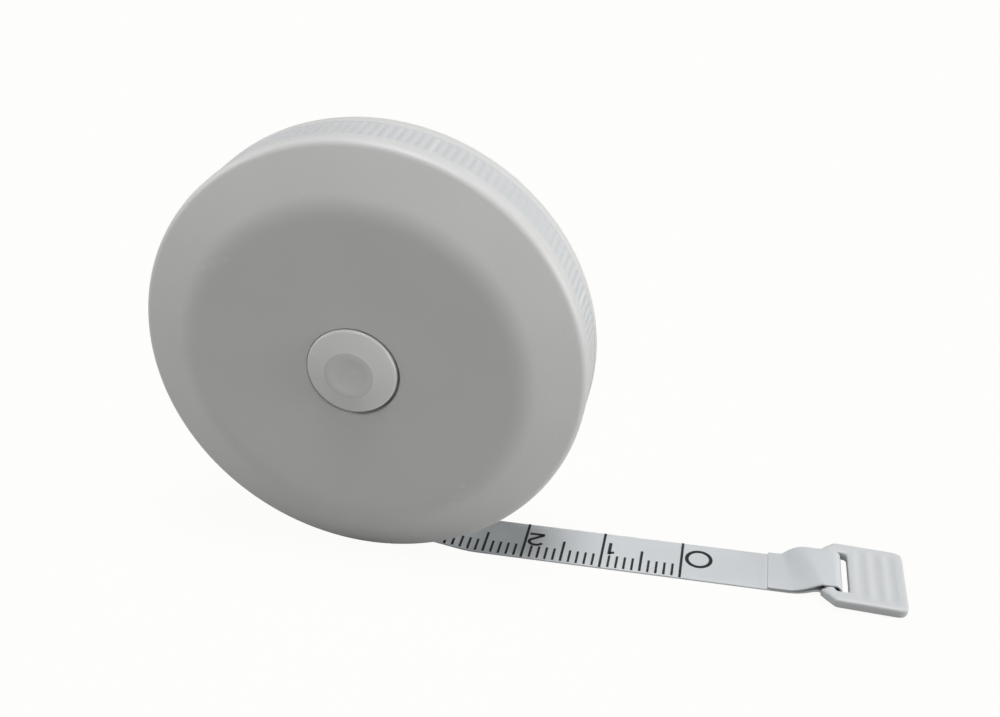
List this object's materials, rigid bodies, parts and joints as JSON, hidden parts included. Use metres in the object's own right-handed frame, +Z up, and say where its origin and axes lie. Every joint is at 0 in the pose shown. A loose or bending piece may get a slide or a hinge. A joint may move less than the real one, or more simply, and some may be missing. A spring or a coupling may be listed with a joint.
{
  "type": "tape measure",
  "caption": "Round pocket tape measure standing on its ribbed rim, with a centre release button, a flexible printed ribbon drawn out of the slot and a pull tab on its folded end.",
  "frame": {"origin": "centre of the flat rear face of the round case", "axes": "+Y is the axis of the case, out of the rear face; the release button faces -Y. +X is the way the ribbon is pulled out. +Z is up: the case stands on its rim with the table at z = -0.027"},
  "size_m": [0.0934, 0.0157, 0.054],
  "materials": {
    "case_white": "satin moulded ABS",
    "button_white": "satin moulded ABS",
    "tab_white": "satin moulded plastic",
    "reel_white": "plain moulded acetal",
    "washer": "slippery plain plastic",
    "spring_steel": "blued strip steel",
    "brake_rubber": "matt",
    "tape_ribbon": "smooth coated fibreglass ribbon"
  },
  "bodies": {
    "case": {"front_cover": "case_white", "rim_band": "case_white", "rear_cover": "case_white", "spindle": "case_white", "reel_washer": "washer", "tape_lead": "tape_ribbon"},
    "button": {"push_button": "button_white", "brake_disc": "reel_white", "brake_ring": "brake_rubber", "button_spring": "spring_steel"},
    "reel_body": {"reel": "reel_white", "reel_cap": "reel_white", "spring_cover": "reel_white", "mainspring": "spring_steel", "tape_anchor": "reel_white", "tape_coil": "tape_ribbon"},
    "tape": {"tape_strip": "tape_ribbon"},
    "tape_end": {"tape_fold": "tape_ribbon"},
    "tab": {"pull_tab": "tab_white"}
  },
  "joints": [
    {"name": "button_press", "type": "slide", "parent": "case", "child": "button", "axis": [0, 1, 0], "range_m": [0, 0.0015], "stiffness_N_per_m": 600, "springref_m": -0.0015, "deforming": ["button_spring"]},
    {"name": "tape_pull", "type": "slide", "parent": "case", "child": "tape", "axis": [1, 0, 0], "range_m": [0, 1.4]},
    {"name": "tape_retract", "type": "slide", "parent": "tape", "child": "tape_end", "axis": [1, 0, 0], "range_m": [-0.036, 0], "deforming": ["tape_strip"]},
    {"name": "tab_swing", "type": "hinge", "parent": "tape_end", "child": "tab", "pos_m": [0.0573, -0.0072, -0.02585], "axis": [0, -1, 0], "range_deg": [-60, 70]},
    {"name": "reel_spin", "type": "hinge", "parent": "case", "child": "reel_body", "pos_m": [0, -0.0072, 0], "axis": [0, 1, 0], "range_deg": [-3660, 10], "deforming": ["mainspring", "tape_coil"]}
  ],
  "couplings": [
    {"joint": "reel_spin", "follows": "tape_pull", "rad_per_m": -44.4}
  ]
}
